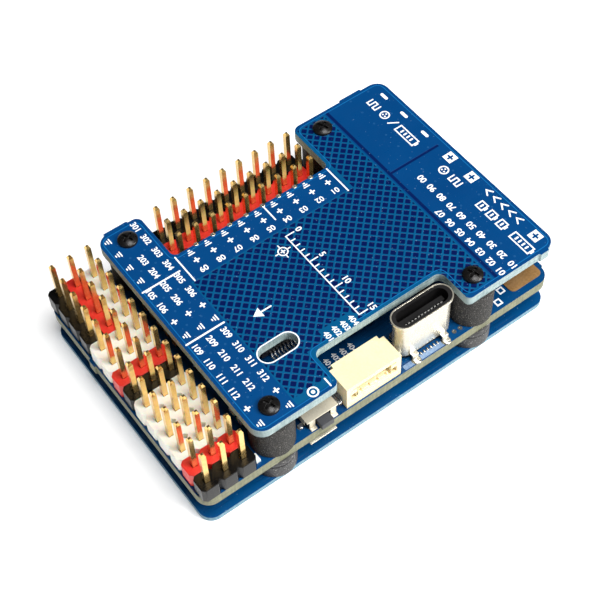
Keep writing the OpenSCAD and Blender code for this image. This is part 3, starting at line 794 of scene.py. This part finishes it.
def supply_marks(ink):
    """At the supply end: bars, plus squares and chevrons by the edge, then the supply signs."""
    edge_x, sign_x = 25.3, 23.25
    bar_y, half_bar, bar_width = (14.85, 10.6, 6.25), 0.45, 0.46
    square_y = (1.05, -3.2, -15.35)
    chevron_count, chevron_y, chevron_pitch, chevron_depth = 5, -6.0, 1.45, 0.75
    cell_count, cell_y, cell_pitch = 3, -7.6, 1.9
    for y in bar_y:
        ink.line([(edge_x, y - half_bar), (edge_x, y + half_bar)], bar_width)
    for y in square_y:
        ink.plus_square(edge_x, y)
    for place in range(chevron_count):
        y = chevron_y - place * chevron_pitch
        ink.line([(24.9, y - chevron_depth), (25.38, y), (25.86, y - chevron_depth)], 0.21)
    ink.battery(sign_x, 7.5, 3.6, 4)
    ink.line([(sign_x + 0.6, 9.95), (sign_x - 0.6, 10.75)], SIGN_STROKE)
    ink.motor(sign_x, 12.15)
    ink.wave(sign_x, 14.5)
    ink.motor(sign_x, -0.1)
    ink.wave(sign_x, -2.4)
    for cell in range(cell_count):
        ink.battery(sign_x, cell_y - cell * cell_pitch, 1.1, 1)
    ink.battery(sign_x, -15.1, 3.4, 4)


def numeral_rows(ink):
    """Two rows of numerals along the supply end."""
    first_y, spacing = -16.9, 1.93
    for x, count, step in ((18.3, 7, 1), (20.1, 10, 10)):
        for place in range(count):
            ink.number("%02d" % ((place + 1) * step % 100), x, first_y + place * spacing, 90, 1.25)


def top_marks():
    """Everything printed in white on the top board."""
    ink = Print(TOP_FACE)
    serial_labels(ink)
    servo_labels(ink)
    connector_labels(ink, -4.05, -11.6)
    button_sign_and_arrow(ink)
    scale_and_target(ink)
    slot_outline(ink)
    supply_marks(ink)
    numeral_rows(ink)
    ink.piece("top_marks", INK_WHITE, "led_white")


def border_line():
    """The thin edge of the copper that shows through the mask just inside the outline."""
    inset = 0.5
    corner = 1.2
    bend_steps = 6
    left, right = TOP_LEFT + inset, EDGE_X - inset
    front_left, front_right = FRONT_NOTCH[0] - inset, FRONT_NOTCH[1] + inset
    servo_left, servo_right = SERVO_NOTCH[0] - inset, SERVO_NOTCH[1] + inset
    low, floor = -EDGE_Y + inset, FRONT_FLOOR + inset
    high, shelf = EDGE_Y - inset, SERVO_FLOOR - inset
    outline = [(left, low), (front_left, low), (front_left, floor), (front_right, floor),
               (front_right, low), (right, low), (right, high), (servo_right, high),
               (servo_right, shelf), (servo_left, shelf), (servo_left, high), (left, high)]
    points = []
    for index, here in enumerate(outline):
        here = Vector(here)
        before = (Vector(outline[index - 1]) - here).normalized()
        after = (Vector(outline[(index + 1) % len(outline)]) - here).normalized()
        for step in range(bend_steps + 1):
            share = step / bend_steps
            first, last = here + before * corner, here + after * corner
            bent = first * (1 - share) ** 2 + here * 2 * share * (1 - share) + last * share ** 2
            points.append((bent.x, bent.y))
    ink = Print(TOP_FACE, 0.006)
    ink.line(points, 0.09, closed=True)
    ink.piece("top_pour_edge", POUR_LINE, "blue_board")


def main_marks():
    """White print on the main board, where it shows past the top board."""
    ink = Print(MAIN_TOP)
    connector_labels(ink, -3.75, -10.9)
    half = 0.38
    for x, y in ((20.2, -15.55), (18.75, -16.75)):
        ink.line([(x - half, y - half), (x + half, y - half), (x + half, y + half),
                  (x - half, y + half)], closed=True)
    ink.piece("main_marks", INK_WHITE, "led_white")


top_marks()
border_line()
main_marks()


# ---------------------------------------------------------------- pads and solder


def oval(shape, x, y, level, reach_x, reach_y, steps):
    """Points round a level oval."""
    points = []
    for k in range(steps):
        angle = math.tau * k / steps
        spot = (x + reach_x * math.cos(angle), y + reach_y * math.sin(angle), level)
        points.append(shape.verts.new(Vector(spot) * MM))
    return points


def skin(shape, rings):
    """Joins rings of points into a closed surface with flat ends."""
    steps = len(rings[0])
    for low, high in zip(rings, rings[1:]):
        for k in range(steps):
            following = (k + 1) % steps
            shape.faces.new([low[k], low[following], high[following], high[k]])
    shape.faces.new(list(reversed(rings[0])))
    shape.faces.new(rings[-1])


def turned(shape, x, y, level, profile, steps=20):
    """Adds a solid of revolution about a vertical axis, from (radius, height) pairs."""
    skin(shape, [oval(shape, x, y, level + height, radius, radius, steps)
                 for radius, height in profile])


def blob(shape, x, y, level, length, width, height, steps=24, layers=5):
    """Adds a low rounded mound of solder on a board face."""
    flat_share = 0.12
    rings = []
    for layer in range(layers + 1):
        angle = math.pi / 2 * layer / layers
        shrink = math.cos(angle) * (1 - flat_share) + flat_share
        rings.append(oval(shape, x, y, level + height * math.sin(angle),
                          length / 2 * shrink, width / 2 * shrink, steps))
    skin(shape, rings)


def header_solder():
    """A cone of solder round each pin below the main board."""
    shape = bmesh.new()
    cone = [(0.86, 0.0), (0.82, -0.08), (0.6, -0.3), (0.44, -0.6), (0.38, -0.95)]
    places = [(SERIAL_X + column * PITCH, SERIAL_Y + row * PITCH)
              for column in range(SERIAL_COLUMNS) for row in range(SERIAL_ROWS)]
    places += [(SERVO_X + row * PITCH, SERVO_Y - pin * PITCH)
               for row in range(SERVO_ROWS) for pin in range(SERVO_PINS)]
    for x, y in places:
        turned(shape, x, y, MAIN_BOTTOM, cone)
    piece_from(shape, "header_solder", SOLDER)


def box_mm(node):
    """Lowest and highest corners of a CAD node in millimetres."""
    low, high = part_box(node)
    return low / MM, high / MM


def socket_solder():
    """Solder round the feet and tails of the parts on the main board, and on the link pins."""
    shape = bmesh.new()
    low, high = box_mm("usb_shell")
    usb_x, usb_y = (low.x + high.x) / 2, (low.y + high.y) / 2
    foot_x, foot_y, foot_size = 2.35, 2.2, 1.35
    for sx in (-1, 1):
        for sy in (-1, 1):
            blob(shape, usb_x + sx * foot_x, usb_y + sy * foot_y, MAIN_TOP, foot_size, foot_size, 0.22)
    tail_count, tail_pitch, tail_y = 6, 0.52, usb_y - 1.78
    for place in range(tail_count):
        x = usb_x + (place - (tail_count - 1) / 2) * tail_pitch
        blob(shape, x, tail_y, MAIN_TOP, 0.3, 0.62, 0.14)
    low, high = box_mm("boot_button_terminals")
    inset = 0.25
    for x in (low.x + inset, high.x - inset):
        for y in (low.y + inset, high.y - inset):
            blob(shape, x, y, MAIN_TOP, 0.95, 0.8, 0.2)
    low, high = box_mm("connector_anchors")
    inset = 0.3
    for x in (low.x + inset, high.x - inset):
        blob(shape, x, (low.y + high.y) / 2, MAIN_TOP, 1.1, 2.1, 0.25)
    low, high = box_mm("connector_contacts")
    half_contact, tail_inset = 0.15, 0.35
    for place in range(CONTACT_COUNT):
        x = low.x + half_contact + place * CONTACT_PITCH
        blob(shape, x, high.y - tail_inset, MAIN_TOP, 0.6, 1.2, 0.2)
    for place in range(SERVO_ROWS - 1):
        blob(shape, SERVO_X + (place + 0.5) * PITCH, SERVO_FLOOR - 0.2, TOP_FACE, 0.7, 0.36, 0.06)
    piece_from(shape, "socket_solder", SOLDER)


def tinned_strip():
    """Bare tinned copper along the front edge by the USB socket."""
    pad = Print(MAIN_TOP, 0.03)
    pad.rectangle(6.4, -17.25, 6.5, 0.7, 0.12)
    pad.piece("front_tinned_strip", TINNED_STRIP, "tin")


def front_vias():
    """Two plated holes at the front edge, right of the USB socket."""
    shape = bmesh.new()
    ring = [(0.3, 0.0), (0.3, 0.02), (0.17, 0.025), (0.15, 0.005)]
    for x, y in ((11.5, -16.8), (12.45, -16.83)):
        turned(shape, x, y, MAIN_TOP, ring, 18)
    piece_from(shape, "front_vias", SOLDER)


header_solder()
socket_solder()
tinned_strip()
front_vias()


# ---------------------------------------------------------------- stage, lights and camera


def make_stage():
    """Pale floor just under the base board, with a faint glow that keeps it even."""
    half_size = 3.0
    level = -0.00002
    made = Finish("pale_floor", specular=0.1)
    paint = made.mix(made.noise(60.0, 2.0), rgb(250, 250, 250), rgb(255, 255, 255))
    made.finish(paint, made.noise(40.0).between(0.85, 0.95))
    made.shader.inputs["Emission Color"].default_value = (1, 1, 1, 1)
    made.shader.inputs["Emission Strength"].default_value = 0.2
    mesh = bpy.data.meshes.new("floor")
    corners = [(sx * half_size, sy * half_size, level)
               for sx, sy in ((-1, -1), (1, -1), (1, 1), (-1, 1))]
    mesh.from_pydata(corners, [], [(0, 1, 2, 3)])
    mesh.materials.append(made.material)
    floor = bpy.data.objects.new("floor", mesh)
    bpy.context.scene.collection.objects.link(floor)


def area_light(name, place, target, size, power, tint):
    """A square light at a place, turned to face a target."""
    light = bpy.data.lights.new(name, "AREA")
    light.shape = "SQUARE"
    light.size = size
    light.energy = power
    light.color = tint
    lamp = bpy.data.objects.new(name, light)
    bpy.context.scene.collection.objects.link(lamp)
    lamp.location = place
    lamp.rotation_mode = "QUATERNION"
    lamp.rotation_quaternion = (Vector(target) - Vector(place)).to_track_quat("-Z", "Y")


def make_lights():
    """A key from the front right, a weak fill from the left and a broad soft light from above."""
    middle = (0, 0, 0.006)
    area_light("key", (0.21, -0.27, 0.25), middle, 0.18, 1.9, (1, 0.985, 0.95))
    area_light("fill_left", (-0.36, -0.06, 0.2), middle, 0.26, 0.12, (0.95, 0.975, 1))
    sky = bpy.data.lights.new("overhead", "SUN")
    sky.energy = 2.75
    sky.angle = math.radians(30)
    lamp = bpy.data.objects.new("overhead", sky)
    bpy.context.scene.collection.objects.link(lamp)
    lamp.rotation_euler = (math.radians(16), math.radians(6), 0)
    world = bpy.data.worlds.new("studio")
    bpy.context.scene.world = world
    world.use_nodes = True
    world.node_tree.nodes["Background"].inputs["Color"].default_value = (0.8, 0.83, 0.86, 1)
    world.node_tree.nodes["Background"].inputs["Strength"].default_value = 0.06


def make_camera():
    """A long lens above the front left corner, with a slight roll, turned by its right and up axes."""
    right = Vector((0.80551, -0.59161, -0.03405))
    up = Vector((0.49796, 0.64461, 0.58010))
    back = right.cross(up)
    camera = bpy.data.cameras.new("camera")
    camera.sensor_width = 36
    camera.lens = 82.857
    camera.clip_start, camera.clip_end = 0.005, 10
    holder = bpy.data.objects.new("camera", camera)
    bpy.context.scene.collection.objects.link(holder)
    pose = Matrix((right, up, back)).transposed().to_4x4()
    pose.translation = Vector((-57.186, -86.123, 148.377)) * MM
    holder.matrix_world = pose
    bpy.context.scene.camera = holder


make_stage()
make_lights()
make_camera()
bpy.context.scene.view_settings.view_transform = "Standard"
